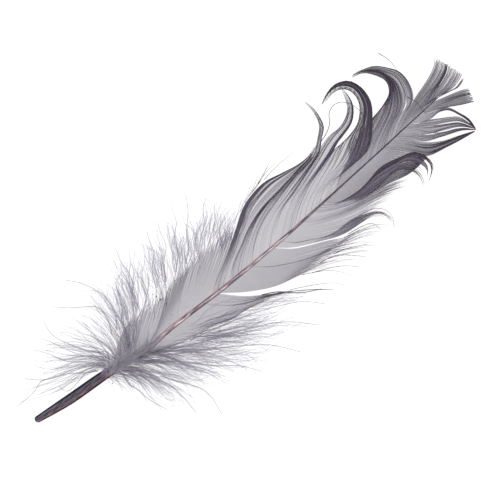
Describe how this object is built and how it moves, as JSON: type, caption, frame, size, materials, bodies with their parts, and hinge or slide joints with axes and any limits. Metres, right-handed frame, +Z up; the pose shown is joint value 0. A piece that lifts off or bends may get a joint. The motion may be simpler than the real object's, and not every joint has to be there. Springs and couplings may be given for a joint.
{
  "type": "goose quill feather",
  "caption": "Loose goose quill feather lying down, with a bare quill, a downy foot and a vane that parts into locks curled into hooks near the tip.",
  "frame": {"origin": "on the surface that the feather lies on, under the middle of its box", "axes": "+X along the shaft from the quill's end to the tip, +Y towards the side with the large hooks, +Z up"},
  "size_m": [0.1838, 0.0661, 0.0148],
  "materials": {
    "vane": "grey, silky and slightly see-through, of fine side-by-side barbs",
    "quill": "smooth horn, dark grey-purple at the quill, pinkish brown along the shaft",
    "down": "loose pale grey fluff"
  },
  "bodies": {
    "root": {"feather": "vane"}
  },
  "joints": []
}
